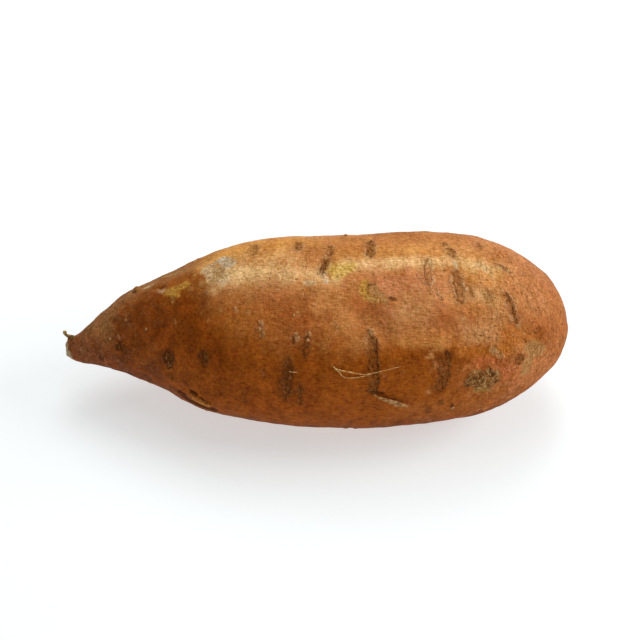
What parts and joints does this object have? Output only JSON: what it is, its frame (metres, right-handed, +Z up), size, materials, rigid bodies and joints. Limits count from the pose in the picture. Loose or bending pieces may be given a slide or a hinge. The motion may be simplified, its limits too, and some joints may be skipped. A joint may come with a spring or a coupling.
{
  "type": "sweet potato",
  "caption": "Whole raw sweet potato root, tapered to a cut stalk end with a short dried rootlet and rounded at the other end, lying on its side on a small flat spot.",
  "frame": {"origin": "on the surface that the root rests on, below the middle of its bounding box", "axes": "+X along the root, from the tapered stalk end to the blunt end; -Y is the side that shows in front; +Z up"},
  "size_m": [0.1818, 0.0724, 0.069],
  "materials": {
    "skin": "matte"
  },
  "bodies": {
    "root": {"sweet_potato": "skin"}
  },
  "joints": []
}
